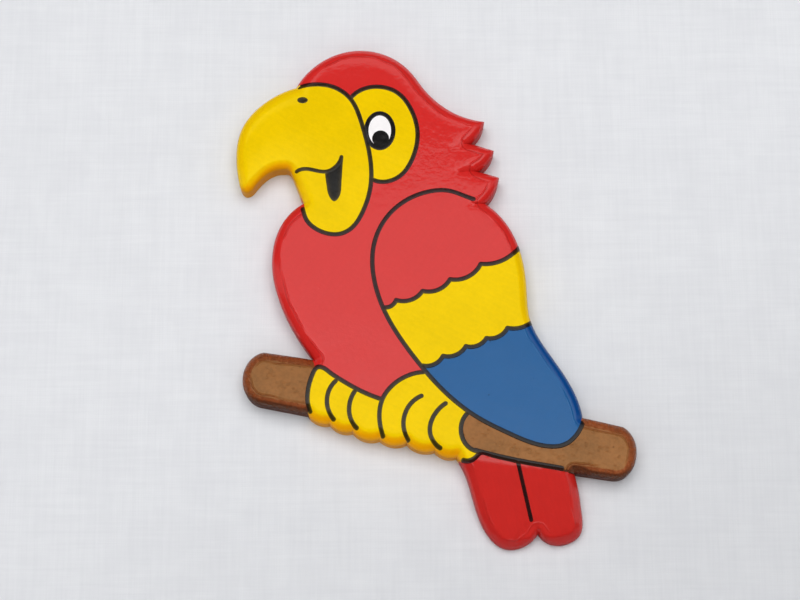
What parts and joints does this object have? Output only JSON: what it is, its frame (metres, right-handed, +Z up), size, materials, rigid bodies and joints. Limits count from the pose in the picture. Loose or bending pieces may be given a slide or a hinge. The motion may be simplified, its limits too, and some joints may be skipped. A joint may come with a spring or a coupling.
{
  "type": "painted wooden parrot magnet",
  "caption": "Flat sawn wooden parrot on a perch, painted in enamel with black outlines, held to a steel surface by round magnets let into its back.",
  "frame": {"origin": "on the flat back of the board, at the middle of the figure's width and about its middle in height", "axes": "+Z up towards the crown, +X to the right as the painted face is looked at, +Y out of the back; the face looks along -Y"},
  "size_m": [0.0739, 0.0052, 0.0946],
  "materials": {
    "bare_wood": "sanded, unpainted",
    "ferrite": "ground, matt",
    "epoxy_glue": "set, slightly yellow",
    "red_enamel": "brushed satin enamel",
    "yellow_enamel": "brushed satin enamel",
    "blue_enamel": "brushed satin enamel",
    "brown_enamel": "brushed satin enamel",
    "white_enamel": "brushed satin enamel",
    "black_line_paint": "drawn line, satin"
  },
  "bodies": {
    "root": {"carved_board": "bare_wood", "upper_magnet": "ferrite", "lower_magnet": "ferrite", "upper_magnet_glue": "epoxy_glue", "lower_magnet_glue": "epoxy_glue", "red_plumage_paint": "red_enamel", "red_shoulder_paint": "red_enamel", "red_tail_paint": "red_enamel", "yellow_wing_band_paint": "yellow_enamel", "yellow_beak_paint": "yellow_enamel", "yellow_eye_patch_paint": "yellow_enamel", "yellow_feet_paint": "yellow_enamel", "blue_wing_tip_paint": "blue_enamel", "brown_perch_left_paint": "brown_enamel", "brown_perch_right_paint": "brown_enamel", "white_eye_paint": "white_enamel", "beak_line": "black_line_paint", "eye_patch_line": "black_line_paint", "eye_ring_and_pupil": "black_line_paint", "wing_line": "black_line_paint", "shoulder_feather_line": "black_line_paint", "wing_band_feather_line": "black_line_paint", "perch_line": "black_line_paint", "feet_line": "black_line_paint", "toe_lines": "black_line_paint", "mouth_line": "black_line_paint", "nostril": "black_line_paint", "tail_line": "black_line_paint"}
  },
  "joints": []
}
